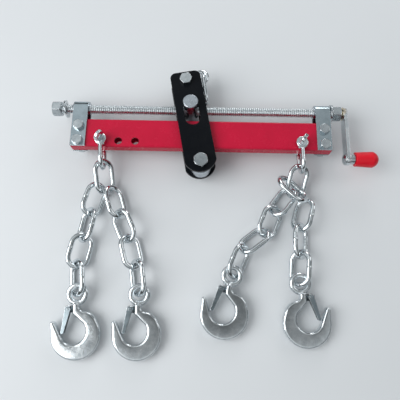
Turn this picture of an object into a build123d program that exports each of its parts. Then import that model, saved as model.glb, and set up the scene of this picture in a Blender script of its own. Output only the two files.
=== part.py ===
from build123d import *
import os
from math import asin, atan2, cos, degrees, radians, sin

# An engine load leveler lying on its back. X runs along the beam, Y is up in use and Z away from the table.
# While it is laid out, Y is 0 at the middle of the beam's height. Sizes are in millimetres and degrees.

# Clearances
running_fit = 0.08
press_gap = 0.02
face_gap = 0.3
table_gap = 0.25

# Beam: a rectangular tube with chain holes near its lower face
beam_length = 439.0
beam_height = 50.0
beam_depth = 20.0
beam_wall = 3.0
beam_corner = 3.0
chain_hole = 13.0
chain_hole_rise = 10.5
chain_hole_inset = 51.5
chain_hole_pitch = 28.5
left_hole_count = 3

# Straps: flat steel bent over a bush at each end of the beam
strap_width = 25.0
strap_thickness = 3.0
strap_bolt_upper = 11.0
strap_bolt_lower = -16.0
strap_bolt_diameter = 10.0
strap_bolt_head_across = 16.0
strap_bolt_head_height = 6.4
strap_nut_height = 8.4
strap_bolt_proud = 3.0
strap_bolt_turn = 30
bush_length = 29.0

# Lead screw, its nuts and washers
screw_diameter = 16.0
screw_rise = 22.4
screw_left_overhang = 37.5
screw_nut_across = 24.0
screw_nut_height = 14.8
washer_diameter = 30.0
washer_bore = 17.5
washer_thickness = 3.0
loose_washer_standoff = 15.1
loose_washer_tilt = 8.0

# Crank
crank_standoff = 24.5
crank_thickness = 6.0
crank_width = 20.5
crank_reach = 84.0
crank_edge = 0.6
weld_ring_diameter = 23.0
weld_ring_height = 3.0
spindle_diameter = 10.0
spindle_engagement = 31.0
rivet_head_diameter = 20.0
rivet_head_height = 5.5
ferrule_diameter = 17.0
ferrule_length = 9.0
ferrule_edge = 0.8
grip_length = 39.5
grip_neck_radius = 12.0
grip_end_radius = 13.5
grip_dome = 11.0

# Carrier: two slotted plates that hang on the nut's trunnions
trunnion_diameter = 25.0
trunnion_length = 74.0
trunnion_edge = 1.0
trunnion_place = -19.0
carrier_tilt = 10.75
plate_width = 52.0
plate_thickness = 5.0
plate_spacing = 30.0
plate_top = 66.0
plate_bottom = 119.0
plate_bottom_bulge = 17.6
plate_corner = 10.0
slot_width = 26.0
slot_top = 13.5
slot_bottom = 35.0
top_bolt_rise = 50.0
top_bolt_diameter = 12.0
top_bolt_head_across = 19.0
top_bolt_head_height = 8.0
top_nut_height = 10.5
roller_bolt_turn = 30
roller_bolt_drop = 101.0
roller_bolt_diameter = 14.0
roller_bolt_head_across = 22.0
roller_bolt_head_height = 9.0
roller_nut_height = 11.0
bolt_tail = 3.0
roller_diameter = 36.0
roller_length = 26.0
roller_edge = 1.5
roller_washer_diameter = 26.0

# Chain links
link_wire = 8.5
link_inner_length = 45.0
link_inner_width = 24.0

# Lifting links on the top bolt
lifting_wire = 7.5
lifting_inner_length = 45.0
lifting_inner_width = 13.5
lifting_heading = 124.0
lifting_seat_gap = 0.35
lower_lifting_heading = 8.0
lower_lifting_shift = 2.4
lower_lifting_rise = 0.6

# Shackles
shackle_wire = 7.5
shackle_jaw = 24.5
shackle_length = 45.0
shackle_boss_diameter = 20.0
shackle_boss_edge = 1.2
shackle_pin_diameter = 11.5
shackle_pin_head_diameter = 19.0
shackle_pin_head_thickness = 6.0
shackle_pin_head_edge = 1.5
shackle_pin_head_sink = 1.0
shackle_pin_head_turn = 55
shackle_pin_collar = 3.0
shackle_pin_collar_step = 2.0
shackle_pin_eye = 7.0

# Hooks, measured down from the centre of the eye
eye_radius = 13.5
eye_wire = 9.0
eye_relief = 1.0
hook_thickness = 14.0
hook_edge = 3.5
corner_allowance = 0.3
hook_corner = hook_edge + corner_allowance
neck_half_width = 6.0
neck_waist = 3.8
shoulder_drop = 26.0
shoulder_flare = 4.0
cheek_reach = 24.0
cheek_drop = 5.5
cheek_angle = 30
heel_angle = 176
throat_left_angle = 217
throat_right_angle = 31
throat_top_drop = 30.0
bowl_drop = 62.0
bowl_outer_radius = 38.5
bowl_inner_radius = 20.0
bowl_inner_shift = 4.0
bowl_inner_lift = 5.5
bowl_shift = 1.5
prong_rise = 15.0
prong_reach = 39.5
prong_width = 6.5
prong_slant = 0.75
prong_crown = 0.9
latch_pivot_side = 14.0
latch_pivot_drop = 22.7
lug_radius = 5.5
lug_thickness = 6.0
latch_length = 36.0
latch_lean = 13.0
latch_pivot_radius = 4.4
latch_tip_radius = 2.4
latch_sheet = 1.5
latch_pin_diameter = 4.0
latch_pin_proud = 1.6

# Each side: shackle heading, then the anchor link's heading, roll, seat gap and the height of its low end
sides = {
    "left": {"place": -1, "shackle": 4, "heading": 7, "roll": -45, "seat": 3.9, "low": 15.9},
    "right": {"place": 1, "shackle": 2, "heading": -13, "roll": -27, "seat": 1.4, "low": 12.2},
}
# Each leg: where the first link crosses the anchor link (along, across) and how much of it lies before that
# point, then the headings and rolls of its four links, how far each is held off the table, and the slack and
# the sideways shift at each pivot, the last of them at the hook
legs = {
    "left_outer": {
        "side": "left", "along": 35.5, "across": -9.5, "before": -2.5,
        "headings": (-15, -10, -11, 6), "rolls": (-43, 45, -30, 47), "lifts": (1.7, 0.4, 3.5, 0.2),
        "slacks": (0.3, 0.3, 0.5, 3.0), "shifts": (1.0, 0.4, 1.7, 0.7), "hook": 3, "opens": -1,
    },
    "left_inner": {
        "side": "left", "along": 46.0, "across": 10.5, "before": 0.0,
        "headings": (18, 25, 16, 9), "rolls": (-49, 37, -40, 51), "lifts": (4.3, 4.2, 1.5, 0.0),
        "slacks": (0.4, 0.3, 0.8, 2.5), "shifts": (0.5, -1.3, 3.3, 1.4), "hook": 0, "opens": -1,
    },
    "right_inner": {
        "side": "right", "along": 43.0, "across": -5.5, "before": 0.5,
        "headings": (-37, -22, -52, -22), "rolls": (38, -30, 42, -49), "lifts": (1.9, 1.5, 0.4, 1.2),
        "slacks": (2.1, 0.2, 0.2, 3.0), "shifts": (-2.5, -2.3, 0.2, -2.1), "hook": -10, "opens": -1,
    },
    "right_outer": {
        "side": "right", "along": 46.0, "across": -5.5, "before": 27.5,
        "headings": (47, -15, -3, -4), "rolls": (-44, 46, -47, 44), "lifts": (14.1, 0.0, 0.6, 0.7),
        "slacks": (-1.3, 0.2, 0.3, 3.5), "shifts": (8.0, 0.8, 0.1, -0.7), "hook": 7, "opens": 1,
    },
}

# Places that follow from the sizes above
screw_height = trunnion_length / 2
screw_y = beam_height / 2 + screw_rise
beam_end = beam_length / 2
hole_y = chain_hole_rise - beam_height / 2
strap_center = beam_end - strap_width / 2
plate_outer = plate_spacing / 2 + plate_thickness
crank_face = beam_end + crank_standoff
rivet_y = screw_y - crank_reach
grip_start = crank_face + crank_thickness + ferrule_length + face_gap
link_radius = (link_inner_width + link_wire) / 2
link_half = (link_inner_length + link_wire) / 2
lifting_radius = (lifting_inner_width + lifting_wire) / 2
lifting_half = (lifting_inner_length + lifting_wire) / 2
shackle_radius = (shackle_jaw + shackle_wire) / 2

parts = {}
pivots = {}


def hexagon_block(across, height, turn=0.0, both_ends=False):
    """A hexagon from z 0 up, with its corners turned off at the top, or at both ends."""
    corner_radius = across / 2 / cos(radians(30))
    blank = Cylinder(corner_radius, height, align=(Align.CENTER, Align.CENTER, Align.MIN))
    rims = blank.edges().filter_by(GeomType.CIRCLE).sort_by(Axis.Z)
    turned = chamfer(rims if both_ends else rims[-1:], (corner_radius - across / 2) * 0.9)
    hexagon = extrude(RegularPolygon(across / 2, 6, major_radius=False, rotation=turn), height)
    return hexagon & turned


def hexagon_bolt(diameter, length, across, head_height, turn=0.0):
    """A bolt whose head sits on z 0 and whose shank runs down."""
    shank = Cylinder(diameter / 2, length, align=(Align.CENTER, Align.CENTER, Align.MAX))
    shank = chamfer(shank.edges().sort_by(Axis.Z)[:1], diameter / 12)
    return hexagon_block(across, head_height, turn) + shank


def hexagon_nut(diameter, across, height, turn=0.0):
    """A nut from z 0 up on a bolt of the given diameter."""
    bore = Cylinder(diameter / 2 + press_gap, 3 * height)
    return hexagon_block(across, height, turn, both_ends=True) - bore


def ring(outer_diameter, bore_diameter, height):
    """A flat ring from z 0 up."""
    sketch = Circle(outer_diameter / 2) - Circle(bore_diameter / 2)
    return extrude(sketch, height)


def dome(radius, base, top):
    """The outline of a round cap about the axis, from its rim to its top."""
    height = top - base
    ball = (radius * radius + height * height) / (2 * height)
    half_angle = atan2(radius, ball - height) / 2
    middle = (abs(ball) * sin(abs(half_angle)), top - ball + ball * cos(half_angle))
    return ThreePointArc((radius, base), middle, (0, top))


def along_x(x, y, z):
    """A place whose own Z points along the beam."""
    return Plane(origin=(x, y, z), x_dir=(0, 1, 0), z_dir=(1, 0, 0)).location


def group(*solids):
    """Separate solids that share one node."""
    return Compound(children=list(solids))


def directions(heading, pitch=0.0, roll=0.0):
    """Unit vectors along, across and out of a link. Headings turn from straight down towards +X."""
    turn, dip, bank = radians(heading), radians(pitch), radians(roll)
    along = Vector(sin(turn) * cos(dip), -cos(turn) * cos(dip), -sin(dip))
    level = Vector(cos(turn), sin(turn), 0)
    across = level * cos(bank) + along.cross(level) * sin(bank)
    return along, across, along.cross(across)


def chain_link(wire, inner_length, inner_width):
    """An oval link in its own XY plane, long in X, about its middle."""
    half = (inner_length + wire) / 2
    radius = (inner_width + wire) / 2
    straight = half - radius
    path = Polyline((-straight, -radius), (straight, -radius))
    path += ThreePointArc((straight, -radius), (half, 0), (straight, radius))
    path += Polyline((straight, radius), (-straight, radius))
    path += ThreePointArc((-straight, radius), (-half, 0), (-straight, -radius))
    section = Plane(origin=(-straight, -radius, 0), z_dir=(1, 0, 0)) * Circle(wire / 2)
    return sweep(section, path=Wire(path.edges()))


def place_link(link, crown, heading, pitch=0.0, roll=0.0, half=None):
    """Put a link with the middle of its upper crown's wire at the given point."""
    along, across, out = directions(heading, pitch, roll)
    middle = crown + along * (half or link_half)
    return Plane(origin=middle, x_dir=along, z_dir=out).location * link


def resting_height(roll):
    """Height of a rolled link's middle line when its lower strand lies on the table."""
    return link_radius * sin(radians(abs(roll))) + link_wire / 2 + table_gap


def make_beam():
    """The tube with its chain holes and the holes for the strap bolts."""
    outer = RectangleRounded(beam_depth, beam_height, beam_corner)
    inner = Rectangle(beam_depth - 2 * beam_wall, beam_height - 2 * beam_wall)
    section = Plane(origin=(-beam_end, 0, screw_height), x_dir=(0, 0, 1), z_dir=(1, 0, 0)) * (outer - inner)
    tube = extrude(section, beam_length)
    left_holes = [-beam_end + chain_hole_inset + n * chain_hole_pitch for n in range(left_hole_count)]
    for x in left_holes + [beam_end - chain_hole_inset]:
        tube -= Pos(x, hole_y, screw_height) * Cylinder(chain_hole / 2, 2 * beam_depth)
    for x in (-strap_center, strap_center):
        for y in (strap_bolt_upper, strap_bolt_lower):
            tube -= Pos(x, y, screw_height) * Cylinder(strap_bolt_diameter / 2 + running_fit, 2 * beam_depth)
    parts["beam_tube"] = tube


def make_straps():
    """The bent straps, their bushes, bolts and nuts."""
    inner = beam_depth / 2
    outer = inner + strap_thickness
    foot = -beam_height / 2
    outline = Polyline((-inner, foot), (-outer, foot), (-outer, screw_y))
    outline += ThreePointArc((-outer, screw_y), (0, screw_y + outer), (outer, screw_y))
    outline += Polyline((outer, screw_y), (outer, foot), (inner, foot), (inner, screw_y))
    outline += ThreePointArc((inner, screw_y), (0, screw_y + inner), (-inner, screw_y))
    outline += Polyline((-inner, screw_y), (-inner, foot))
    profile = make_face(outline.edges())
    bolts = []
    nuts = []
    bushes = []
    grip_length_total = beam_depth + 2 * strap_thickness
    for name, x in (("strap_left", -strap_center), ("strap_right", strap_center)):
        # the profile's own X points away from the table
        start = Plane(origin=(x + strap_width / 2, 0, screw_height), x_dir=(0, 0, 1), z_dir=(-1, 0, 0))
        strap = extrude(start * profile, strap_width)
        for y in (strap_bolt_upper, strap_bolt_lower):
            strap -= Pos(x, y, screw_height) * Cylinder(strap_bolt_diameter / 2 + running_fit, 3 * beam_depth)
            front = Pos(x, y, screw_height + outer)
            length = grip_length_total + strap_nut_height + strap_bolt_proud
            bolts.append(front * hexagon_bolt(strap_bolt_diameter, length, strap_bolt_head_across,
                                              strap_bolt_head_height, strap_bolt_turn))
            back = Location((x, y, screw_height - outer), (180, 0, 0))
            nuts.append(back * hexagon_nut(strap_bolt_diameter, strap_bolt_head_across, strap_nut_height))
        parts[name] = strap
        bush = ring(2 * (inner - press_gap), screw_diameter + 2 * running_fit, bush_length)
        bushes.append(along_x(x - bush_length / 2, screw_y, screw_height) * bush)
    parts["strap_bolts"] = group(*bolts)
    parts["strap_nuts"] = group(*nuts)
    parts["screw_bushes"] = group(*bushes)


def make_screw():
    """The lead screw with its end nuts and its two washers."""
    left = -beam_end - screw_left_overhang
    right = crank_face + crank_thickness
    rod = Cylinder(screw_diameter / 2, right - left, align=(Align.CENTER, Align.CENTER, Align.MIN))
    rod = chamfer(rod.edges().sort_by(Axis.Z)[:1], screw_diameter / 12)
    parts["lead_screw"] = along_x(left, screw_y, screw_height) * rod
    nut = hexagon_nut(screw_diameter, screw_nut_across, screw_nut_height)
    bush_end = strap_center + bush_length / 2
    thrust = bush_end + face_gap
    right_nut = thrust + washer_thickness + face_gap
    parts["screw_nuts"] = group(
        along_x(left, screw_y, screw_height) * nut,
        along_x(right_nut, screw_y, screw_height) * nut,
    )
    washer = ring(washer_diameter, washer_bore, washer_thickness)
    middle = Pos(0, 0, -washer_thickness / 2) * washer
    loose = along_x(-beam_end - loose_washer_standoff, screw_y, screw_height) * Rot(0, loose_washer_tilt, 0)
    parts["screw_washers"] = group(loose * middle, along_x(thrust, screw_y, screw_height) * washer)
    pivots["crank"] = Vector(0, screw_y, screw_height)


def make_crank():
    """The crank arm with its weld ring, the riveted spindle, the ferrule and the grip."""
    arm_middle = (crank_face, screw_y - crank_reach / 2, screw_height)
    face = Plane(origin=arm_middle, x_dir=(0, 1, 0), z_dir=(1, 0, 0))
    arm = extrude(face * SlotCenterToCenter(crank_reach, crank_width), crank_thickness)
    arm = chamfer(arm.edges().group_by(Axis.X)[0] + arm.edges().group_by(Axis.X)[-1], crank_edge)
    weld = Cone(weld_ring_diameter / 2 - weld_ring_height, weld_ring_diameter / 2, weld_ring_height,
                align=(Align.CENTER, Align.CENTER, Align.MIN))
    arm += along_x(crank_face - weld_ring_height, screw_y, screw_height) * weld
    screw_hole = Cylinder(screw_diameter / 2 + press_gap, 6 * crank_thickness)
    arm -= along_x(crank_face, screw_y, screw_height) * screw_hole
    spindle_hole = Cylinder(spindle_diameter / 2 + press_gap, 6 * crank_thickness)
    arm -= along_x(crank_face, rivet_y, screw_height) * spindle_hole
    parts["crank_arm"] = arm

    half_head = rivet_head_diameter / 2
    rim = rivet_head_height / 3
    cap = Polyline((0, 0), (half_head, 0), (half_head, rim))
    cap += dome(half_head, rim, rivet_head_height)
    cap += Polyline((0, rivet_head_height), (0, 0))
    head = Rot(180, 0, 0) * revolve(Plane.XZ * make_face(cap.edges()), Axis.Z)
    spindle_length = grip_start + spindle_engagement - crank_face
    stem = Cylinder(spindle_diameter / 2, spindle_length, align=(Align.CENTER, Align.CENTER, Align.MIN))
    parts["grip_spindle"] = along_x(crank_face, rivet_y, screw_height) * (head + stem)

    ferrule = ring(ferrule_diameter, spindle_diameter + 2 * press_gap, ferrule_length)
    ferrule = chamfer(ferrule.edges().filter_by(GeomType.CIRCLE).sort_by(SortBy.RADIUS)[-2:], ferrule_edge)
    parts["grip_ferrule"] = along_x(crank_face + crank_thickness, rivet_y, screw_height) * ferrule

    bore = spindle_diameter / 2 + running_fit
    floor = spindle_engagement + face_gap
    shoulder = grip_length - grip_dome
    outline = Polyline((bore, 0), (grip_neck_radius, 0), (grip_end_radius, shoulder))
    outline += dome(grip_end_radius, shoulder, grip_length)
    outline += Polyline((0, grip_length), (0, floor), (bore, floor), (bore, 0))
    grip = revolve(Plane.XZ * make_face(outline.edges()), Axis.Z)
    parts["grip"] = along_x(grip_start, rivet_y, screw_height) * grip
    pivots["grip"] = Vector(grip_start, rivet_y, screw_height)


def make_carrier():
    """The trunnion nut, the two plates, their bolts and the roller."""
    center = Vector(trunnion_place, screw_y, screw_height)
    carrier = Location(center, (0, 0, carrier_tilt))
    trunnion = Cylinder(trunnion_diameter / 2, trunnion_length)
    trunnion = chamfer(trunnion.edges().filter_by(GeomType.CIRCLE), trunnion_edge)
    cross_bore = Rot(0, 90, 0) * Cylinder(screw_diameter / 2 + running_fit, 2 * trunnion_diameter)
    parts["trunnion_nut"] = Pos(center) * (trunnion - cross_bore)

    half = plate_width / 2
    side_end = plate_bottom_bulge - plate_bottom
    edge = FilletPolyline((-half, side_end), (-half, plate_top), (half, plate_top), (half, side_end),
                          radius=plate_corner)
    edge += ThreePointArc((half, side_end), (0, -plate_bottom), (-half, side_end))
    slot = SlotCenterToCenter(slot_top + slot_bottom - slot_width, slot_width, rotation=90)
    outline = make_face(edge.edges()) - Pos(0, (slot_top - slot_bottom) / 2) * slot
    bolts = (
        ("top", top_bolt_rise, top_bolt_diameter, top_bolt_head_across, top_bolt_head_height, top_nut_height, 0),
        ("roller", -roller_bolt_drop, roller_bolt_diameter, roller_bolt_head_across, roller_bolt_head_height,
         roller_nut_height, roller_bolt_turn),
    )
    for name, y, diameter, across, head, nut_height, turn in bolts:
        outline -= Pos(0, y) * Circle(diameter / 2 + running_fit)
        length = 2 * plate_outer + nut_height + bolt_tail
        bolt = hexagon_bolt(diameter, length, across, head, turn)
        parts[f"{name}_bolt"] = carrier * Pos(0, y, plate_outer) * bolt
        nut = hexagon_nut(diameter, across, nut_height, turn)
        parts[f"{name}_nut"] = carrier * Pos(0, y, -plate_outer - nut_height) * nut
    plate = extrude(outline, plate_thickness)
    parts["front_plate"] = carrier * Pos(0, 0, plate_spacing / 2) * plate
    parts["rear_plate"] = carrier * Pos(0, 0, -plate_outer) * plate

    roller_place = carrier * Pos(0, -roller_bolt_drop, 0)
    washer_height = (plate_spacing - roller_length) / 2 - face_gap
    thrust = ring(roller_washer_diameter, roller_bolt_diameter + 2 * running_fit, washer_height)
    parts["roller_washers"] = group(
        roller_place * Pos(0, 0, -plate_spacing / 2) * thrust,
        roller_place * Pos(0, 0, plate_spacing / 2 - washer_height) * thrust,
    )
    roller = Cylinder(roller_diameter / 2, roller_length)
    roller = fillet(roller.edges().filter_by(GeomType.CIRCLE), roller_edge)
    roller -= Cylinder(roller_bolt_diameter / 2 + running_fit, 2 * roller_length)
    parts["roller"] = roller_place * roller

    pivots["nut"] = center
    pivots["carrier"] = center
    pivots["roller"] = (carrier * Pos(0, -roller_bolt_drop, 0)).position
    pivots["lifting_link_0"] = (carrier * Pos(0, top_bolt_rise, 0)).position


def make_lifting_links(link):
    """Two links on the top bolt: the first lies flat, the second hangs edge-on inside its far end."""
    bolt = pivots["lifting_link_0"]
    along = directions(lifting_heading)[0]
    crown = bolt - along * (top_bolt_diameter / 2 + lifting_seat_gap + lifting_wire / 2)
    parts["lifting_link_0"] = place_link(link, crown, lifting_heading, half=lifting_half)
    bend = crown + along * (2 * lifting_half - lifting_radius)
    lower_crown = bend + Vector(lower_lifting_shift, lower_lifting_rise, 0)
    parts["lifting_link_1"] = place_link(link, lower_crown, lower_lifting_heading, roll=90, half=lifting_half)
    pivots["lifting_link_1"] = lower_crown


def make_shackle(side, heading, pin_point):
    """The bow with its bosses, and the screw pin whose flat eye stands at the front."""
    along, across, out = directions(heading)
    straight = shackle_length - shackle_radius
    frame = Plane(origin=pin_point, x_dir=along, z_dir=across)
    path = Polyline((0, shackle_radius), (straight, shackle_radius))
    path += ThreePointArc((straight, shackle_radius), (shackle_length, 0), (straight, -shackle_radius))
    path += Polyline((straight, -shackle_radius), (0, -shackle_radius))
    section = Plane(origin=(0, shackle_radius, 0), z_dir=(1, 0, 0)) * Circle(shackle_wire / 2)
    bow = frame.location * sweep(section, path=Wire(path.edges()))
    boss = Cylinder(shackle_boss_diameter / 2, shackle_wire)
    boss = fillet(boss.edges().filter_by(GeomType.CIRCLE), shackle_boss_edge)
    for z in (-shackle_radius, shackle_radius):
        bow += Pos(pin_point) * Pos(0, 0, z) * boss
    outer = shackle_radius + shackle_wire / 2
    bow -= Pos(pin_point) * Cylinder(shackle_pin_diameter / 2 + press_gap, 4 * outer)
    parts[f"{side}_shackle"] = bow

    shank = Cylinder(shackle_pin_diameter / 2, 2 * outer)
    shank = chamfer(shank.edges().sort_by(Axis.Z)[:1], shackle_pin_diameter / 12)
    collar_radius = shackle_pin_diameter / 2 + shackle_pin_collar_step
    collar = Pos(0, 0, outer + shackle_pin_collar / 2) * Cylinder(collar_radius, shackle_pin_collar)
    head = Cylinder(shackle_pin_head_diameter / 2, shackle_pin_head_thickness)
    head = fillet(head.edges().filter_by(GeomType.CIRCLE), shackle_pin_head_edge)
    head -= Cylinder(shackle_pin_eye / 2, 3 * outer)
    lift = outer + shackle_pin_collar + shackle_pin_head_diameter / 2 - shackle_pin_head_sink
    stand = Location((0, 0, lift), (90, 0, 0))
    turned = Location(pin_point, (0, 0, heading + shackle_pin_head_turn))
    parts[f"{side}_shackle_pin"] = turned * (shank + collar + stand * head)
    pivots[f"{side}_shackle"] = pin_point
    return pin_point + along * straight, along


def hook_outline():
    """The hook's body below its eye, opening to -X."""
    def on_bowl(radius, angle, shift=0.0, lift=0.0):
        turn = radians(angle)
        return (-bowl_shift - shift + radius * cos(turn), -bowl_drop + lift + radius * sin(turn))

    inner = (bowl_inner_radius, bowl_inner_shift, bowl_inner_lift)
    top = -eye_radius
    shoulder = (neck_half_width + shoulder_flare, -shoulder_drop)
    cheek = on_bowl(bowl_outer_radius, cheek_angle)
    heel = on_bowl(bowl_outer_radius, heel_angle)
    tip = -bowl_drop + prong_rise
    tip_outer = (-prong_reach - bowl_shift, tip)
    tip_inner = (-prong_reach + prong_width - bowl_shift, tip + prong_width * prong_slant)
    throat_left = on_bowl(inner[0], throat_left_angle, inner[1], inner[2])
    throat_right = on_bowl(inner[0], throat_right_angle, inner[1], inner[2])
    apex = (-neck_half_width, -throat_top_drop)
    neck_left = (-neck_half_width, top)
    neck_right = (neck_half_width, top)
    outline = ThreePointArc(neck_right, (neck_waist, (top - shoulder_drop) / 2), shoulder)
    outline += ThreePointArc(shoulder, (cheek_reach, -shoulder_drop - cheek_drop), cheek)
    outline += ThreePointArc(cheek, on_bowl(bowl_outer_radius, -90), heel)
    outline += Polyline(heel, tip_outer)
    outline += ThreePointArc(tip_outer, (-prong_reach, tip + prong_width * prong_crown), tip_inner)
    outline += Polyline(tip_inner, throat_left)
    outline += ThreePointArc(throat_left, on_bowl(inner[0], -90, inner[1], inner[2]), throat_right)
    outline += Polyline(throat_right, apex, neck_left, neck_right)
    face = make_face(outline.edges())
    return fillet(face.vertices(), hook_corner)


def make_hook(leg, opens, heading, pitch, eye_center):
    """An eye hook with its latch and the latch's pin, lying with its bowl on the table."""
    across, out = directions(heading, pitch)[1:]
    place = Plane(origin=eye_center, x_dir=across, z_dir=out).location
    body = extrude(hook_outline(), hook_thickness / 2, both=True)
    flat_edges = body.edges().filter_by(Plane.XY)
    body = fillet(flat_edges, hook_edge)
    body -= Cylinder(eye_radius - eye_wire / 2 + eye_relief, 2 * hook_thickness)
    pivot = (-latch_pivot_side, -latch_pivot_drop)
    bridge = Pos(-latch_pivot_side / 2, -latch_pivot_drop) * Rectangle(latch_pivot_side, 2 * lug_radius)
    lug = extrude(Pos(*pivot) * Circle(lug_radius) + bridge, lug_thickness / 2, both=True)
    hook = body + lug + Torus(eye_radius, eye_wire / 2)
    hook -= Pos(*pivot) * Cylinder(latch_pin_diameter / 2 + press_gap, 4 * hook_thickness)

    inside = lug_thickness / 2 + face_gap
    outside = inside + latch_sheet
    lever = make_hull((Circle(latch_pivot_radius) + Pos(0, -latch_length) * Circle(latch_tip_radius)).edges())
    latch = extrude(lever, outside, both=True) - extrude(Pos(latch_sheet, 0) * lever, inside, both=True)
    latch -= Cylinder(lug_radius + face_gap, 2 * inside)
    latch -= Cylinder(latch_pin_diameter / 2 + running_fit, 4 * outside)
    latch_place = Pos(*pivot) * Rot(0, 0, -latch_lean)
    pin = Cylinder(latch_pin_diameter / 2, 2 * outside + latch_pin_proud)
    pieces = {"hook": hook, "latch": latch_place * latch, "latch_pin": latch_place * pin}
    for kind, piece in pieces.items():
        parts[f"{leg}_{kind}"] = place * (mirror(piece, Plane.YZ) if opens > 0 else piece)
    pivots[f"{leg}_latch"] = (place * Pos(opens * latch_pivot_side, -latch_pivot_drop)).position
    pivots[f"{leg}_latch_axis"] = out


def make_leg(leg, plan, link, anchor_crown, anchor_along, anchor_level):
    """Four links and a hook, laid from the anchor link down the table."""
    crossing = anchor_crown + anchor_along * plan["along"] + anchor_level * plan["across"]
    crown = crossing - directions(plan["headings"][0])[0] * plan["before"]
    pivot = crossing
    for n, (heading, roll) in enumerate(zip(plan["headings"], plan["rolls"])):
        along, level, up = directions(heading)
        if n > 0:
            crown = pivot - along * offset + level * plan["shifts"][n - 1]
        crown = Vector(crown.X, crown.Y, resting_height(roll) + plan["lifts"][n])
        name = f"{leg}_link_{n + 1}"
        parts[name] = place_link(link, crown, heading, 0, roll)
        pivots[name] = Vector(pivot.X, pivot.Y, crown.Z)
        offset = link_wire / 2 + plan["slacks"][n]
        pivot = crown + along * (2 * link_half - offset)
    pitch = degrees(asin((crown.Z - table_gap - hook_thickness / 2) / (bowl_drop + bowl_outer_radius)))
    along, level, up = directions(plan["hook"])
    eye_center = pivot + along * (eye_radius - offset) + level * plan["shifts"][-1]
    make_hook(leg, plan["opens"], plan["hook"], pitch, eye_center)
    pivots[f"{leg}_hook"] = pivot


def make_side(side, plan, link):
    """A shackle, its anchor link and the two legs that share it."""
    pin_point = Vector(plan["place"] * (beam_end - chain_hole_inset), hole_y, screw_height)
    bow_center, bow_along = make_shackle(side, plan["shackle"], pin_point)
    reach = shackle_radius - shackle_wire / 2 - link_wire / 2 - plan["seat"]
    pitch = degrees(asin((screw_height - plan["low"]) / (reach + 2 * link_half)))
    sink = Vector(0, 0, sin(radians(pitch)))
    crown = bow_center + bow_along * (reach * cos(radians(pitch))) - sink * reach
    parts[f"{side}_anchor_link"] = place_link(link, crown, plan["heading"], pitch, plan["roll"])
    pivots[f"{side}_anchor_link"] = bow_center + (bow_along * cos(radians(pitch)) - sink) * shackle_radius
    along = directions(plan["heading"], pitch)[0]
    level = directions(plan["heading"])[1]
    for leg, leg_plan in legs.items():
        if leg_plan["side"] == side:
            make_leg(leg, leg_plan, link, crown, along, level)


make_beam()
make_straps()
make_screw()
make_crank()
make_carrier()
chain_link_solid = chain_link(link_wire, link_inner_length, link_inner_width)
make_lifting_links(chain_link(lifting_wire, lifting_inner_length, lifting_inner_width))
for side_name, side_plan in sides.items():
    make_side(side_name, side_plan, chain_link_solid)

# The origin is under the middle of the whole part, on the table
whole = Compound(children=[Compound(part.solids()) for part in parts.values()]).bounding_box()
origin = Vector(whole.center().X, whole.center().Y, whole.min.Z)
os.makedirs("parts", exist_ok=True)
for node_name, part in parts.items():
    placed = Pos(-origin) * Compound(part.solids())
    export_step(placed, os.path.join("parts", f"{node_name}.step"))
print(len(parts), "nodes, size", whole.size)
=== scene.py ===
"""An engine load leveler lying on a pale table: paint, zinc plate, bright steel and cut threads."""

import logging
from dataclasses import dataclass, field
from enum import Enum
from math import cos, pi, radians, sin
from typing import Optional

import bmesh
import bpy
import numpy
from mathutils import Matrix, Vector


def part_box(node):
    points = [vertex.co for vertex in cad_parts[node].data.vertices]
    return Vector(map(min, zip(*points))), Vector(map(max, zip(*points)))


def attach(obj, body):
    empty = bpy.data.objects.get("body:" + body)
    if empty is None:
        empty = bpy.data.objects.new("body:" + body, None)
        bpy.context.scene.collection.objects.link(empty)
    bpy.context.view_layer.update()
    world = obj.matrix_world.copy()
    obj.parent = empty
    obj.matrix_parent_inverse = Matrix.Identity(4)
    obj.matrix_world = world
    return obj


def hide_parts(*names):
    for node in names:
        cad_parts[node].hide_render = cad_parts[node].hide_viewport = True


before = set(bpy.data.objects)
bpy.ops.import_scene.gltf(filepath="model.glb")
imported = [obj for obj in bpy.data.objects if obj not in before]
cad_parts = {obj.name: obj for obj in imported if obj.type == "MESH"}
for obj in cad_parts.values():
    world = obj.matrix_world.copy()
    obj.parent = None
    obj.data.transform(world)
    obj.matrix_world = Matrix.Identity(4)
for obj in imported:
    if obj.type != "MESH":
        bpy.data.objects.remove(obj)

log = logging.getLogger("leveler")
SIDES = ("left", "right")
LEGS = ("left_outer", "left_inner", "right_inner", "right_outer")
MERGE = 1e-6
Colour = tuple[float, float, float]


class Slot(Enum):
    """The record's material slots that the scene's own pieces are passed."""

    ZINC_PLATE = "zinc_plate"
    BRIGHT_STEEL = "bright_steel"


class Direction(Enum):
    """The frame's axes, as unit vectors."""

    ALONG_BEAM = (1.0, 0.0, 0.0)
    OFF_TABLE = (0.0, 0.0, 1.0)

    @property
    def upright(self) -> tuple[float, float, float]:
        """The turn, in radians, that brings this axis onto Z."""
        return (0.0, -pi / 2 * self.value[0], 0.0)


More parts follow.
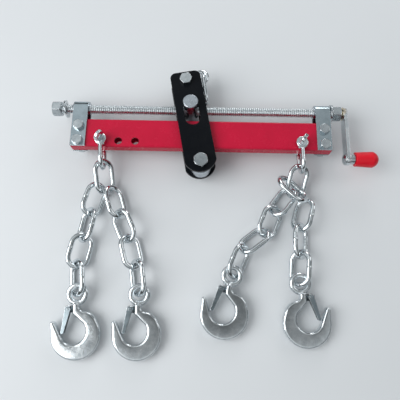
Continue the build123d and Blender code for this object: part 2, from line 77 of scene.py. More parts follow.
class Graph:
    """The node graph of one material, with an output and a principled shader."""

    bevel_samples = 6

    def __init__(self, name: str) -> None:
        """Start an empty graph.

        Args:
            name: the material's name.
        """
        self.material = bpy.data.materials.new(name)
        self.material.use_nodes = True
        self.tree = self.material.node_tree
        self.tree.nodes.clear()
        output = self.tree.nodes.new("ShaderNodeOutputMaterial")
        self.shader = self.tree.nodes.new("ShaderNodeBsdfPrincipled")
        self.tree.links.new(self.shader.outputs["BSDF"], output.inputs["Surface"])
        self.place = self.tree.nodes.new("ShaderNodeTexCoord").outputs["Object"]

    def add(self, kind: str, inputs: Optional[dict] = None, **settings: object) -> bpy.types.Node:
        """Add a node.

        Args:
            kind: the node's type, without its Shader prefix.
            inputs: values or sockets for the node's inputs, by name or number.
            settings: the node's own properties.

        Returns:
            The new node.
        """
        node = self.tree.nodes.new("ShaderNode" + kind)
        for key, value in settings.items():
            setattr(node, key, value)
        for key, value in (inputs or {}).items():
            if isinstance(value, bpy.types.NodeSocket):
                self.tree.links.new(value, node.inputs[key])
            else:
                node.inputs[key].default_value = value
        return node

    def centred(self, centre: Vector, turn: tuple[float, float, float] = (0, 0, 0)) -> bpy.types.NodeSocket:
        """Object coordinates about a point.

        Args:
            centre: the point, in metres.
            turn: a turn of the pattern about it, in radians.

        Returns:
            The coordinates' socket.
        """
        moved = self.add("VectorMath", {0: self.place, 1: centre}, operation="SUBTRACT")
        return self.add("Mapping", {"Vector": moved.outputs[0], "Rotation": turn}).outputs[0]

    def noise(self, scale: float, detail: float = 3.0, roughness: float = 0.55,
              place: Optional[bpy.types.NodeSocket] = None) -> bpy.types.NodeSocket:
        """Cloudy noise over the piece.

        Args:
            scale: patches in a metre.
            detail: how many finer layers it has.
            roughness: how strong the finer layers are.
            place: the coordinates, or the object's own.

        Returns:
            The noise's value.
        """
        inputs = {"Vector": place or self.place, "Scale": scale, "Detail": detail, "Roughness": roughness}
        return self.add("TexNoise", inputs).outputs["Fac"]

    def spread(self, value: bpy.types.NodeSocket, low: float, high: float,
               start: float = 0.35, end: float = 0.65) -> bpy.types.NodeSocket:
        """Map a value's middle range onto another range.

        Args:
            value: the value.
            low: the result at start and before.
            high: the result at end and after.
            start: where the range starts.
            end: where it ends.

        Returns:
            The mapped value.
        """
        inputs = {"Value": value, "From Min": start, "From Max": end, "To Min": low, "To Max": high}
        return self.add("MapRange", inputs).outputs["Result"]

    def mix(self, share: bpy.types.NodeSocket, first: object, second: object) -> bpy.types.NodeSocket:
        """Mix two colours.

        Args:
            share: how much of the second colour shows.
            first: a colour or a socket.
            second: a colour or a socket.

        Returns:
            The mixed colour.
        """
        node = self.add("Mix", {"Factor": share}, data_type="RGBA")
        for number, colour in ((6, first), (7, second)):
            if isinstance(colour, bpy.types.NodeSocket):
                self.tree.links.new(colour, node.inputs[number])
            else:
                node.inputs[number].default_value = (*colour, 1.0)
        return node.outputs[2]

    def edge(self, width: float) -> bpy.types.NodeSocket:
        """A mask along the piece's sharp edges.

        Args:
            width: how far the mask reaches in from an edge, in metres.

        Returns:
            A value near 1 on the edges and 0 on the faces.
        """
        rounded = self.add("Bevel", {"Radius": width}, samples=self.bevel_samples)
        straight = self.add("NewGeometry")
        inputs = {0: rounded.outputs["Normal"], 1: straight.outputs["Normal"]}
        agreement = self.add("VectorMath", inputs, operation="DOT_PRODUCT")
        return self.spread(agreement.outputs["Value"], 1.0, 0.0, 0.82, 0.97)

    def relief(self, layers: list[tuple[bpy.types.NodeSocket, float]], rounding: float) -> None:
        """Give the shader a bumped normal over softly rounded edges.

        Args:
            layers: each height value with how deep it is, in metres.
            rounding: the radius of the piece's edges, in metres.
        """
        normal = self.add("Bevel", {"Radius": rounding}, samples=self.bevel_samples).outputs["Normal"]
        for height, depth in layers:
            inputs = {"Height": height, "Strength": 1.0, "Distance": depth, "Normal": normal}
            normal = self.add("Bump", inputs).outputs["Normal"]
        self.feed("Normal", normal)

    def feed(self, name: str, value: object) -> None:
        """Set or link one of the shader's inputs.

        Args:
            name: the input's name.
            value: a number, a colour or a socket.
        """
        if isinstance(value, bpy.types.NodeSocket):
            self.tree.links.new(value, self.shader.inputs[name])
        else:
            self.shader.inputs[name].default_value = value


@dataclass(frozen=True)
class ZincFinish:
    """Bright zinc plate: cool silver with cloudy tone, fine grain and edges painted paler as a highlight.

    Fields give the two tones, the roughness range, how many clouds and grains there are in a metre, how
    deep the grain and the forged waviness are, the edges' radius, and the tone and share of the specks and
    of the painted highlight along the edges.
    """

    name: str
    pale: Colour = (0.77, 0.81, 0.83)
    deep: Colour = (0.61, 0.655, 0.68)
    smooth: float = 0.13
    dull: float = 0.27
    clouds: float = 70.0
    grains: float = 900.0
    grain_depth: float = 0.000004
    waves: float = 110.0
    wave_depth: float = 0.00003
    rounding: float = 0.0007
    speck_tone: float = 0.62
    speck_share: float = 0.3
    edge_highlight_tone: Colour = (0.78, 0.79, 0.81)
    edge_highlight_share: float = 0.7
    edge_highlight_width: float = 0.0014

    def tinted(self, graph: Graph, tone: bpy.types.NodeSocket) -> bpy.types.NodeSocket:
        """Leave the metal's tone as it is, where a kind of plate has no tint.

        Args:
            graph: the material's graph.
            tone: the metal's tone.

        Returns:
            The tone to use.
        """
        return tone

    def material(self) -> bpy.types.Material:
        """Build the plated metal's material."""
        graph = Graph(self.name)
        clouds = graph.noise(self.clouds, 4.0)
        grain = graph.noise(self.grains, 3.0, 0.65)
        tone = graph.mix(graph.spread(clouds, 0.0, 1.0), self.pale, self.deep)
        specks = graph.spread(grain, 0.0, self.speck_share, 0.56, 0.74)
        tone = graph.mix(specks, tone, tuple(self.speck_tone * part for part in self.deep))
        # painted highlight: the edges are painted a paler silver, standing in for light caught on them
        edges = graph.spread(graph.edge(self.edge_highlight_width), 0.0, self.edge_highlight_share, 0.0, 1.0)
        graph.feed("Base Color", self.tinted(graph, graph.mix(edges, tone, self.edge_highlight_tone)))
        graph.feed("Metallic", 1.0)
        graph.feed("Roughness", graph.spread(graph.noise(3.0 * self.clouds, 4.0), self.smooth, self.dull))
        waves = graph.noise(self.waves, 2.0)
        graph.relief([(waves, self.wave_depth), (grain, self.grain_depth)], self.rounding)
        return graph.material


@dataclass(frozen=True)
class PaintFinish:
    """Glossy paint over steel, with orange peel, a little dust and thin wear along the edges.

    Fields give the paint's tones, the colour under it, the gloss, the size of its peel and wear, the edges'
    radius, and how many clouds, scratches and scuffs there are in a metre.
    """

    name: str
    colour: Colour
    shade: Colour
    bare: Colour
    roughness: float = 0.2
    scuffed: float = 0.34
    specular: float = 0.2
    coat: float = 0.1
    coat_roughness: float = 0.12
    peel: float = 520.0
    peel_depth: float = 0.000008
    wear_width: float = 0.0011
    rounding: float = 0.0009
    clouds: float = 26.0
    scratches: float = 340.0
    scuffs: float = 95.0

    def material(self) -> bpy.types.Material:
        """Build the paint's material."""
        graph = Graph(self.name)
        clouds = graph.noise(self.clouds, 3.0)
        tone = graph.mix(graph.spread(clouds, 0.0, 1.0), self.colour, self.shade)
        scratches = graph.noise(self.scratches, 5.0, 0.7)
        chipped = graph.spread(scratches, 0.0, 1.0, 0.5, 0.62)
        edges = graph.edge(self.wear_width)
        worn = graph.add("Math", {0: edges, 1: chipped}, operation="MULTIPLY").outputs[0]
        graph.feed("Base Color", graph.mix(worn, tone, self.bare))
        scuffs = graph.spread(graph.noise(self.scuffs, 6.0, 0.7), self.roughness, self.scuffed, 0.4, 0.72)
        graph.feed("Roughness", scuffs)
        graph.feed("Specular IOR Level", self.specular)
        graph.feed("Coat Weight", self.coat)
        graph.feed("Coat Roughness", self.coat_roughness)
        graph.relief([(graph.noise(self.peel, 1.0), self.peel_depth)], self.rounding)
        return graph.material


@dataclass(frozen=True)
class TurnedFinish:
    """Machined steel with fine tool rings about one axis.

    Fields give the axis's middle and direction, the tones and roughness range, the rings, the edges'
    radius, and how many clouds, dull patches and grains there are in a metre.
    """

    name: str
    centre: tuple[float, float, float]
    axis: Direction = Direction.OFF_TABLE
    pale: Colour = (0.58, 0.63, 0.68)
    deep: Colour = (0.45, 0.49, 0.53)
    smooth: float = 0.16
    dull: float = 0.28
    rings: float = 420.0
    ring_depth: float = 0.000004
    grain_depth: float = 0.000004
    rounding: float = 0.0011
    clouds: float = 120.0
    patches: float = 300.0
    grains: float = 1100.0
    ring_tone: float = 0.8
    ring_share: float = 0.3

    def material(self) -> bpy.types.Material:
        """Build the turned steel's material."""
        graph = Graph(self.name)
        place = graph.centred(Vector(self.centre), self.axis.upright)
        inputs = {"Vector": place, "Scale": self.rings, "Distortion": 0.6, "Detail": 2.0, "Detail Scale": 1.5}
        rings = graph.add("TexWave", inputs, wave_type="RINGS", rings_direction="Z").outputs["Fac"]
        clouds = graph.noise(self.clouds, 4.0)
        tone = graph.mix(graph.spread(clouds, 0.0, 1.0), self.pale, self.deep)
        shaded = graph.spread(rings, 0.0, self.ring_share, 0.0, 1.0)
        tone = graph.mix(shaded, tone, tuple(self.ring_tone * part for part in self.deep))
        graph.feed("Base Color", tone)
        graph.feed("Metallic", 1.0)
        graph.feed("Roughness", graph.spread(graph.noise(self.patches, 3.0), self.smooth, self.dull))
        grain = graph.noise(self.grains, 2.0)
        graph.relief([(rings, self.ring_depth), (grain, self.grain_depth)], self.rounding)
        return graph.material


@dataclass(frozen=True)
class ThreadFinish:
    """Rolled thread: bright crests over flanks painted darker towards the root as shade, in oily patches,
    told apart by the distance from the axis.

    Fields give a point on the axis, the axis, the root and crest radius in metres, the tones, the roughness
    range, the patches of grime and of painted shade and the grains in a metre, the grain's depth and the
    edges' radius.
    """

    name: str
    centre: tuple[float, float, float]
    axis: Direction
    root: float
    crest: float
    pale: Colour = (0.9, 0.94, 0.96)
    deep: Colour = (0.44, 0.48, 0.5)
    smooth: float = 0.2
    dull: float = 0.38
    grime_and_shade: float = 160.0
    grains: float = 1500.0
    grain_depth: float = 0.00002
    rounding: float = 0.0002

    def material(self) -> bpy.types.Material:
        """Build the thread's material."""
        graph = Graph(self.name)
        flat = tuple(1.0 - abs(part) for part in self.axis.value)
        about = graph.centred(Vector(self.centre))
        radial = graph.add("VectorMath", {0: about, 1: flat}, operation="MULTIPLY")
        reach = graph.add("VectorMath", {0: radial.outputs[0]}, operation="LENGTH").outputs["Value"]
        # painted shade: the thread's roots are painted darker than its crests, deeper in oily patches
        depth = graph.spread(reach, 1.0, 0.0, self.root, self.crest)
        grime_and_shade = graph.noise(self.grime_and_shade, 5.0, 0.65)
        oil_and_root_shade = graph.spread(grime_and_shade, 0.55, 1.0)
        share = graph.add("Math", {0: depth, 1: oil_and_root_shade}, operation="MULTIPLY").outputs[0]
        graph.feed("Base Color", graph.mix(share, self.pale, self.deep))
        graph.feed("Metallic", 1.0)
        graph.feed("Roughness", graph.spread(grime_and_shade, self.smooth, self.dull))
        graph.relief([(graph.noise(self.grains, 2.0), self.grain_depth)], self.rounding)
        return graph.material


@dataclass(frozen=True)
class WeldedFinish(ZincFinish):
    """Zinc plate that is yellowed round a weld.

    Fields add the weld's middle, how far its tint reaches, in metres, the share of that where it starts to
    fade, its colour and its strength.
    """

    weld: tuple[float, float, float] = (0.0, 0.0, 0.0)
    reach: float = 0.0125
    fade: float = 0.8
    tint: Colour = (0.60, 0.45, 0.22)
    strength: float = 0.75

    def tinted(self, graph: Graph, tone: bpy.types.NodeSocket) -> bpy.types.NodeSocket:
        """Lay the weld's tint over the metal's tone.

        Args:
            graph: the material's graph.
            tone: the metal's tone.

        Returns:
            The tinted tone.
        """
        away = graph.add("VectorMath", {0: graph.place, 1: self.weld}, operation="DISTANCE").outputs["Value"]
        near = graph.spread(away, self.strength, 0.0, self.fade * self.reach, self.reach)
        return graph.mix(near, tone, self.tint)


@dataclass(frozen=True)
class PlasticFinish:
    """Moulded plastic with a faint grain, cloudy gloss and small scuffs.

    Fields give the plastic's two tones, its roughness range, its grain, how many clouds and scuffs there
    are in a metre, how wide and strong the painted highlight along the edges is, the edges' radius and the
    sheen.
    """

    name: str
    colour: Colour
    shade: Colour
    smooth: float = 0.28
    dull: float = 0.46
    grains: float = 1300.0
    grain_depth: float = 0.000012
    clouds: float = 60.0
    scuffs: float = 210.0
    edge_highlight_width: float = 0.0012
    edge_highlight_share: float = 0.6
    rounding: float = 0.001
    specular: float = 0.3

    def material(self) -> bpy.types.Material:
        """Build the plastic's material."""
        graph = Graph(self.name)
        clouds = graph.noise(self.clouds, 3.0)
        tone = graph.mix(graph.spread(clouds, 0.0, 1.0), self.colour, self.shade)
        # painted highlight: the edges are painted a brighter red, standing in for light caught on them
        edges = graph.spread(graph.edge(self.edge_highlight_width), 0.0, self.edge_highlight_share, 0.0, 1.0)
        pale = tuple(min(1.0, 1.25 * part + 0.03) for part in self.colour)
        graph.feed("Base Color", graph.mix(edges, tone, pale))
        graph.feed("Roughness", graph.spread(graph.noise(self.scuffs, 5.0, 0.65), self.smooth, self.dull))
        graph.feed("Specular IOR Level", self.specular)
        grain = graph.noise(self.grains, 2.0)
        graph.relief([(grain, self.grain_depth)], self.rounding)
        return graph.material


class Workshop:
    """Helpers that turn a bmesh into a finished piece and dress the model's nodes."""

    @staticmethod
    def finish(mesh: bmesh.types.BMesh, name: str, body: str, slot: Slot, material: bpy.types.Material,
               stands_for: tuple[str, ...] = (), sharp: float = 40.0) -> bpy.types.Object:
        """Make an object of a bmesh, at the origin, riding on a body.

        Args:
            mesh: the shape, in the shared frame, in metres. It is freed.
            name: the piece's name.
            body: the body that it rides on.
            slot: the record's slot for its finish; not used.
            material: what it is dressed in.
            stands_for: the nodes that it replaces.
            sharp: faces that meet at more than this many degrees keep a sharp edge.

        Returns:
            The new object.
        """
        bmesh.ops.remove_doubles(mesh, verts=mesh.verts, dist=MERGE)
        bmesh.ops.recalc_face_normals(mesh, faces=mesh.faces)
        for face in mesh.faces:
            face.smooth = True
        data = bpy.data.meshes.new(name)
        mesh.to_mesh(data)
        mesh.free()
        data.set_sharp_from_angle(angle=radians(sharp))
        data.materials.append(material)
        piece = bpy.data.objects.new(name, data)
        bpy.context.scene.collection.objects.link(piece)
        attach(piece, body)
        if stands_for:
            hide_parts(*stands_for)
        log.info("%s: %d faces on %s", name, len(data.polygons), body)
        return piece

    @staticmethod
    def dress(material: bpy.types.Material, *names: str) -> None:
        """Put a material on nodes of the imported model.

        Args:
            material: the material.
            names: the nodes.
        """
        for name in names:
            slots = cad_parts[name].data.materials
            slots.clear()
            slots.append(material)
            log.info("%s: dressed in %s", name, material.name)

    @staticmethod
    def middle(name: str) -> Vector:
        """The middle of a node's box."""
        low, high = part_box(name)
        return (low + high) / 2

    @staticmethod
    def thread(mesh: bmesh.types.BMesh, radius: float, pitch: float, depth: float, low: float, high: float,
               steps: int = 20) -> None:
        """Cut a thread about Z by spinning one tooth up a helix, trimmed flat at both ends.

        Args:
            mesh: where the thread goes.
            radius: the crest's radius.
            pitch: the rise of one turn.
            depth: how far the root lies under the crest.
            low: the lower end.
            high: the upper end.
            steps: steps in one turn.
        """
        turns = int((high - low) / pitch) + 3
        start = low - 1.5 * pitch
        tooth = ((radius - depth, 0.0), (radius, 0.42), (radius, 0.58), (radius - depth, 1.0))
        verts = [mesh.verts.new((reach, 0.0, start + share * pitch)) for reach, share in tooth]
        edges = [mesh.edges.new(pair) for pair in zip(verts, verts[1:])]
        bmesh.ops.spin(mesh, geom=verts + edges, cent=(0, 0, 0), axis=(0, 0, 1), dvec=(0, 0, pitch / steps),
                       angle=2 * pi * turns, steps=steps * turns)
        bmesh.ops.remove_doubles(mesh, verts=mesh.verts, dist=MERGE)
        for height, normal in ((low, (0, 0, -1)), (high, (0, 0, 1))):
            geometry = mesh.verts[:] + mesh.edges[:] + mesh.faces[:]
            cut = bmesh.ops.bisect_plane(mesh, geom=geometry, dist=1e-7, plane_co=(0, 0, height),
                                         plane_no=normal, clear_outer=True)
            rim = [item for item in cut["geom_cut"] if isinstance(item, bmesh.types.BMEdge)]
            bmesh.ops.contextual_create(mesh, geom=rim)

    @staticmethod
    def lathe(mesh: bmesh.types.BMesh, outline: list[tuple[float, float]], steps: int = 28) -> None:
        """Spin an outline about Z into a closed shape.

        Args:
            mesh: where the shape goes.
            outline: radius and height of each point, in metres.
            steps: steps in the turn.
        """
        verts = [mesh.verts.new((reach, 0.0, height)) for reach, height in outline]
        edges = [mesh.edges.new(pair) for pair in zip(verts, verts[1:])]
        bmesh.ops.spin(mesh, geom=verts + edges, cent=(0, 0, 0), axis=(0, 0, 1), angle=2 * pi, steps=steps,
                       use_merge=True)
        bmesh.ops.remove_doubles(mesh, verts=mesh.verts, dist=MERGE)


@dataclass
class Beam:
    """The painted tube, its straps, bushes, bolts and nuts."""

    straps: tuple[str, ...] = ("strap_left", "strap_right")
    fasteners: tuple[str, ...] = ("strap_bolts", "strap_nuts")

    def build(self, red: bpy.types.Material, zinc: bpy.types.Material, sheet: bpy.types.Material) -> None:
        """Build and dress the beam and what is bolted to it.

        Args:
            red: the tube's paint.
            zinc: the fasteners' finish.
            sheet: the straps' finish.
        """
        Workshop.dress(red, "beam_tube")
        Workshop.dress(sheet, *self.straps)
        Workshop.dress(zinc, *self.fasteners)
        bush = TurnedFinish("bush_steel", tuple(Workshop.middle("screw_bushes")), Direction.ALONG_BEAM)
        Workshop.dress(bush.material(), "screw_bushes")


@dataclass
class Screw:
    """The lead screw with its nuts, washers, crank and grip.

    Fields give the thread's crest radius, pitch and depth, how far into the crank's arm its weld lies, in
    metres, and the steps in one turn of the thread.
    """

    radius: float = 0.008
    pitch: float = 0.0035
    depth: float = 0.0016
    weld_inset: float = 0.0015
    steps: int = 24

    def rod(self) -> None:
        """Build the threaded rod in place of the plain one."""
        low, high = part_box("lead_screw")
        centre = (low + high) / 2
        mesh = bmesh.new()
        Workshop.thread(mesh, self.radius, self.pitch, self.depth, low.x, high.x, self.steps)
        bmesh.ops.rotate(mesh, cent=(0, 0, 0), matrix=Matrix.Rotation(pi / 2, 3, "Y"), verts=mesh.verts)
        bmesh.ops.translate(mesh, vec=(0, centre.y, centre.z), verts=mesh.verts)
        steel = ThreadFinish("screw_steel", tuple(centre), Direction.ALONG_BEAM, self.radius - self.depth,
                             self.radius).material()
        Workshop.finish(mesh, "threaded_lead_screw", "crank", Slot.BRIGHT_STEEL, steel, ("lead_screw",))

    def build(self, zinc: bpy.types.Material) -> None:
        """Build and dress the screw and everything that turns with it.

        Args:
            zinc: the nuts' and washers' finish.
        """
        self.rod()
        Workshop.dress(zinc, "screw_nuts", "screw_washers", "grip_spindle", "grip_ferrule")
        screw = Workshop.middle("lead_screw")
        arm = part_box("crank_arm")[0]
        weld = (arm.x + self.weld_inset, screw.y, screw.z)
        welded = WeldedFinish("crank_zinc", weld=weld, clouds=55.0)
        Workshop.dress(welded.material(), "crank_arm")
        grip = PlasticFinish("grip_plastic_red", (0.74, 0.008, 0.024), (0.66, 0.007, 0.02))
        Workshop.dress(grip.material(), "grip")


@dataclass
class Carrier:
    """The black plates with the trunnion nut, the bolts and the roller.

    Its field names the turned pieces, each with the tool rings in a metre.
    """

    turned: tuple[tuple[str, float], ...] = (("trunnion_nut", 520.0), ("roller", 360.0))

    def build(self, black: bpy.types.Material, zinc: bpy.types.Material) -> None:
        """Dress the carrier.

        Args:
            black: the plates' paint.
            zinc: the fasteners' finish.
        """
        Workshop.dress(black, "front_plate", "rear_plate")
        Workshop.dress(zinc, "top_bolt", "top_nut", "roller_bolt", "roller_nut", "roller_washers")
        for node, rings in self.turned:
            steel = TurnedFinish(f"{node}_steel", tuple(Workshop.middle(node)), rings=rings)
            Workshop.dress(steel.material(), node)


@dataclass
class Chains:
    """The chain links with their butt welds, the shackles and the hooks.

    Fields give how far a weld stands off the wire, how deep its ends lie in it and half its length, in
    metres, the steps in that half, the links without a weld and those that were given one.
    """

    weld_swell: float = 0.00045
    weld_sink: float = 0.0001
    weld_half: float = 0.0042
    weld_steps: int = 8
    bare: tuple[str, ...] = ("right_outer_link_1",)
    welded: list[str] = field(default_factory=list)

    def link_axes(self, node: str) -> tuple[Vector, Vector, Vector, float]:
        """Find how a link lies from its own mesh.

        Args:
            node: the link's node.

        Returns:
            The middle of its upper strand, its long axis, the direction out of its plane and its wire's
            radius.
        """
        points = numpy.array([vert.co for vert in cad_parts[node].data.vertices], float)
        centre = points.mean(axis=0)
        axes = numpy.linalg.eigh(numpy.cov((points - centre).T))[1]
        reaches = (points - centre) @ axes
        middle = centre + axes @ (reaches.max(axis=0) + reaches.min(axis=0)) / 2
        halves = (reaches.max(axis=0) - reaches.min(axis=0)) / 2
        out, across, along = (Vector(axis) for axis in axes.T)
        wire = float(halves[0])
        up = across if across.z > 0 else -across
        return Vector(middle) + up * (float(halves[1]) - wire), along, out, wire

    def weld(self, node: str, material: bpy.types.Material) -> None:
        """Build the swollen butt weld on a link's upper strand.

        Args:
            node: the link's node, which shares its body's name.
            material: the link's finish.
        """
        strand, along, out, wire = self.link_axes(node)
        mesh = bmesh.new()
        shares = [step / self.weld_steps for step in range(-self.weld_steps, self.weld_steps + 1)]
        bead = [(wire - self.weld_sink + self.weld_swell * cos(share * pi / 2) ** 2, share * self.weld_half)
                for share in shares]
        outline = [(0.0, -self.weld_half), *bead, (0.0, self.weld_half)]
        Workshop.lathe(mesh, outline)
        turn = Matrix((out, along.cross(out), along)).transposed()
        bmesh.ops.rotate(mesh, cent=(0, 0, 0), matrix=turn, verts=mesh.verts)
        bmesh.ops.translate(mesh, vec=strand, verts=mesh.verts)
        Workshop.finish(mesh, f"{node}_weld", node, Slot.ZINC_PLATE, material)
        self.welded.append(node)

    def build(self, chain: bpy.types.Material, forged: bpy.types.Material, hooks: bpy.types.Material,
              sheet: bpy.types.Material) -> None:
        """Build and dress the chains.

        Args:
            chain: the links' finish.
            forged: the shackles' finish.
            hooks: the hooks' finish.
            sheet: the latches' finish.
        """
        links = ["lifting_link_0", "lifting_link_1"]
        links += [f"{leg}_link_{number}" for leg in LEGS for number in range(1, 5)]
        Workshop.dress(chain, *links, *(f"{side}_anchor_link" for side in SIDES))
        for node in links:
            if node not in self.bare:
                self.weld(node, chain)
        for side in SIDES:
            Workshop.dress(forged, f"{side}_shackle", f"{side}_shackle_pin")
        for leg in LEGS:
            Forging().build(f"{leg}_hook", f"{leg}_latch_pin", hooks)
            Workshop.dress(sheet, f"{leg}_latch", f"{leg}_latch_pin")


@dataclass
class Forging:
    """A hook whose flat faces are crowned towards their edges, as a drop forging's are.

    Fields give how far the edges fall below the faces' middle, how far in from the edges they start to fall,
    the size of the cells that the faces are cut into, what is kept flat about the latch's pin, how far a face
    may lie below the outermost ones, all in metres, and how square it has to be to them.
    """

    crown: float = 0.0019
    reach: float = 0.0095
    cell: float = 0.0022
    seat: float = 0.0045
    sunk: float = 0.0005
    square: float = 0.9999

    def flats(self, mesh: bmesh.types.BMesh, out: Vector) -> list[bmesh.types.BMFace]:
        """Find the front and back faces of a hook.

        Args:
            mesh: the hook.
            out: the direction out of its front.

        Returns:
            The faces, without those of the thinner lug that carries the latch.
        """
        faces = [face for face in mesh.faces if abs(face.normal.dot(out)) > self.square]
        reaches = [face.calc_center_median().dot(out) for face in faces]
        back, front = min(reaches), max(reaches)
        return [face for face, reach in zip(faces, reaches) if min(reach - back, front - reach) < self.sunk]

    def cut(self, mesh: bmesh.types.BMesh, out: Vector) -> None:
        """Cut the flat faces into cells.

        Args:
            mesh: the hook.
            out: the direction out of its flat faces.
        """
        faces = self.flats(mesh, out)
        verts = dict.fromkeys(vert for face in faces for vert in face.verts)
        edges = dict.fromkeys(edge for face in faces for edge in face.edges)
        shape = [*verts, *edges, *faces]
        first = out.orthogonal().normalized()
        for axis in (first, out.cross(first)):
            reaches = [vert.co.dot(axis) for vert in mesh.verts]
            for step in range(1, int((max(reaches) - min(reaches)) / self.cell) + 1):
                point = axis * (min(reaches) + step * self.cell)
                result = bmesh.ops.bisect_plane(mesh, geom=shape, dist=MERGE, plane_co=point, plane_no=axis)
                shape = result["geom"]

    def build(self, hook: str, pin: str, material: bpy.types.Material) -> None:
        """Build a crowned hook in place of its node.

        Args:
            hook: the hook's node, which shares its body's name.
            pin: the node of its latch's pin.
            material: the hook's finish.
        """
        mesh = bmesh.new()
        mesh.from_mesh(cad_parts[hook].data)
        bmesh.ops.remove_doubles(mesh, verts=mesh.verts, dist=MERGE)
        out = max(mesh.faces, key=lambda face: face.calc_area()).normal.copy()
        self.cut(mesh, out)
        flats = dict.fromkeys(self.flats(mesh, out))
        seat = Workshop.middle(pin)
        for side in (out, -out):
            faces = [face for face in flats if face.normal.dot(side) > 0]
            rims = [edge for face in faces for edge in face.edges
                    if any(other not in flats for other in edge.link_faces)
                    and (edge.verts[0].co - seat).cross(out).length > self.seat]
            starts = numpy.array([edge.verts[0].co for edge in rims])
            spans = numpy.array([edge.verts[1].co for edge in rims]) - starts
            falls = {}
            for vert in dict.fromkeys(vert for face in faces for vert in face.verts):
                place = numpy.array(vert.co)
                along = ((place - starts) * spans).sum(axis=1) / (spans ** 2).sum(axis=1)
                nearest = starts + spans * numpy.clip(along, 0.0, 1.0)[:, None]
                gap = float(numpy.linalg.norm(nearest - place, axis=1).min())
                falls[vert] = self.crown * max(0.0, 1.0 - gap / self.reach) ** 2
            for vert, fall in falls.items():
                vert.co -= side * fall
        Workshop.finish(mesh, f"forged_{hook}", hook, Slot.ZINC_PLATE, material, (hook,))


@dataclass(frozen=True)
class Lamp:
    """A soft square lamp: its name, place and side in metres, and power in watts."""

    name: str
    place: tuple[float, float, float]
    size: float
    power: float

    def hang(self, target: Vector) -> None:
        """Hang the lamp.

        Args:
            target: the point that it faces.
        """
        data = bpy.data.lights.new(self.name, "AREA")
        data.shape = "SQUARE"
        data.size = self.size
        data.energy = self.power
        lamp = bpy.data.objects.new(self.name, data)
        lamp.location = self.place
        lamp.rotation_mode = "QUATERNION"
        lamp.rotation_quaternion = (target - Vector(self.place)).to_track_quat("-Z", "Y")
        bpy.context.scene.collection.objects.link(lamp)


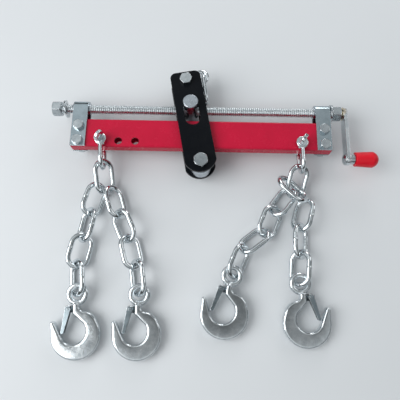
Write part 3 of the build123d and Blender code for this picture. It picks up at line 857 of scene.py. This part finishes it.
@dataclass
class Studio:
    """The table, the lamps, the room and the camera.

    The room's stops give how bright it is at each height of the line of sight, from level to straight up.
    Its light is scaled by side_light, from the side away from bright_side to the side towards it.
    """

    floor_size: float = 6.0
    floor_colour: Colour = (0.70, 0.725, 0.745)
    lit_point: tuple[float, float, float] = (0.0, 0.0, 0.03)
    lamps: tuple[Lamp, ...] = (
        Lamp("window_lamp", (-1.3, -0.3, 1.15), 1.4, 22.0),
        Lamp("fill_lamp", (1.3, 0.5, 0.8), 0.7, 2.5),
        Lamp("back_lamp", (0.3, 1.5, 0.6), 0.6, 5.0),
    )
    camera_place: tuple[float, float, float] = (-0.02113, -0.18344, 0.716)
    camera_tilt: float = 0.27227
    camera_roll: float = 0.01841
    lens: float = 38.7
    sensor: float = 36.0
    room: tuple[tuple[float, float], ...] = (
        (0.0, 0.16), (0.36, 0.05), (0.5, 0.8), (0.88, 1.0), (0.97, 0.32), (1.0, 0.16))
    room_tint: Colour = (0.94, 0.98, 1.0)
    bright_side: tuple[float, float, float] = (-0.75, -0.15, 0.0)
    side_reach: float = 0.75
    side_light: tuple[float, float] = (0.25, 1.25)

    def table(self) -> None:
        """Lay the pale table under the object."""
        mesh = bmesh.new()
        bmesh.ops.create_grid(mesh, x_segments=8, y_segments=8, size=self.floor_size / 2)
        data = bpy.data.meshes.new("table")
        mesh.to_mesh(data)
        mesh.free()
        graph = Graph("table_card")
        fibres = graph.noise(420.0, 4.0)
        shade = tuple(0.97 * part for part in self.floor_colour)
        graph.feed("Base Color", graph.mix(graph.noise(5.0, 2.0), self.floor_colour, shade))
        graph.feed("Roughness", graph.spread(fibres, 0.75, 0.9))
        graph.feed("Specular IOR Level", 0.2)
        data.materials.append(graph.material)
        table = bpy.data.objects.new("table", data)
        bpy.context.scene.collection.objects.link(table)

    def light(self) -> None:
        """Hang the lamps and set the room round them."""
        for lamp in self.lamps:
            lamp.hang(Vector(self.lit_point))
        world = bpy.data.worlds.new("room")
        bpy.context.scene.world = world
        world.use_nodes = True
        nodes, links = world.node_tree.nodes, world.node_tree.links
        aim = nodes.new("ShaderNodeTexCoord").outputs["Generated"]
        towards = nodes.new("ShaderNodeVectorMath")
        towards.operation = "DOT_PRODUCT"
        towards.inputs[1].default_value = self.bright_side
        links.new(aim, towards.inputs[0])
        share = nodes.new("ShaderNodeMapRange")
        levels = (-self.side_reach, self.side_reach, *self.side_light)
        for name, value in zip(("From Min", "From Max", "To Min", "To Max"), levels):
            share.inputs[name].default_value = value
        links.new(towards.outputs["Value"], share.inputs["Value"])
        links.new(share.outputs["Result"], nodes["Background"].inputs["Strength"])
        height = nodes.new("ShaderNodeSeparateXYZ")
        links.new(aim, height.inputs[0])
        ramp = nodes.new("ShaderNodeValToRGB")
        links.new(height.outputs["Z"], ramp.inputs["Fac"])
        stops = ramp.color_ramp.elements
        for height_at, _ in self.room[1:-1]:
            stops.new(height_at)
        for stop, (_, level) in zip(stops, self.room):
            stop.color = (*(level * part for part in self.room_tint), 1.0)
        links.new(ramp.outputs["Color"], nodes["Background"].inputs["Color"])

    def camera(self) -> None:
        """Set the camera where the photograph was taken from."""
        tilt, roll = self.camera_tilt, self.camera_roll
        right = Vector((1.0, 0.0, 0.0))
        up = Vector((0.0, cos(tilt), sin(tilt)))
        back = Vector((0.0, -sin(tilt), cos(tilt)))
        rolled_right = right * cos(roll) + up * sin(roll)
        rolled_up = up * cos(roll) - right * sin(roll)
        data = bpy.data.cameras.new("camera")
        data.sensor_width = self.sensor
        data.lens = self.lens
        data.clip_start = 0.01
        camera = bpy.data.objects.new("camera", data)
        turn = Matrix((rolled_right, rolled_up, back)).transposed()
        camera.matrix_world = Matrix.Translation(Vector(self.camera_place)) @ turn.to_4x4()
        bpy.context.scene.collection.objects.link(camera)
        bpy.context.scene.camera = camera

    def build(self) -> None:
        """Set up the whole studio."""
        self.table()
        self.light()
        self.camera()
        bpy.context.scene.view_settings.view_transform = "Standard"


def main() -> None:
    """Dress the leveler, build its detailed pieces and log how many links carry a butt weld."""
    logging.basicConfig(level=logging.INFO, format="%(name)s %(message)s")
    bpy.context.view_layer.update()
    crimson = PaintFinish("crimson_paint", (0.56, 0.007, 0.042), (0.51, 0.006, 0.037), (0.36, 0.12, 0.14))
    red = crimson.material()
    black = PaintFinish("black_paint", (0.003, 0.004, 0.006), (0.005, 0.006, 0.008), (0.16, 0.16, 0.17),
                        specular=0.06).material()
    fasteners = ZincFinish("fastener_zinc", (0.6, 0.645, 0.665), (0.45, 0.495, 0.52),
                           rounding=0.0012).material()
    sheet = ZincFinish("sheet_zinc", (0.45, 0.53, 0.57), (0.37, 0.44, 0.475), clouds=45.0).material()
    chain = ZincFinish("chain_zinc", smooth=0.07, dull=0.15, grains=700.0).material()
    forged = ZincFinish("forged_zinc", smooth=0.11, dull=0.22, waves=60.0, wave_depth=0.00005).material()
    hooks = ZincFinish("hook_zinc", smooth=0.1, dull=0.2, waves=60.0, wave_depth=0.00002,
                       rounding=0.003).material()
    Studio().build()
    Beam().build(red, fasteners, sheet)
    Screw().build(fasteners)
    Carrier().build(black, fasteners)
    chains = Chains()
    chains.build(chain, forged, hooks, sheet)
    log.info("%d links carry a butt weld", len(chains.welded))
    bpy.context.view_layer.update()


if __name__ == "__main__":
    main()
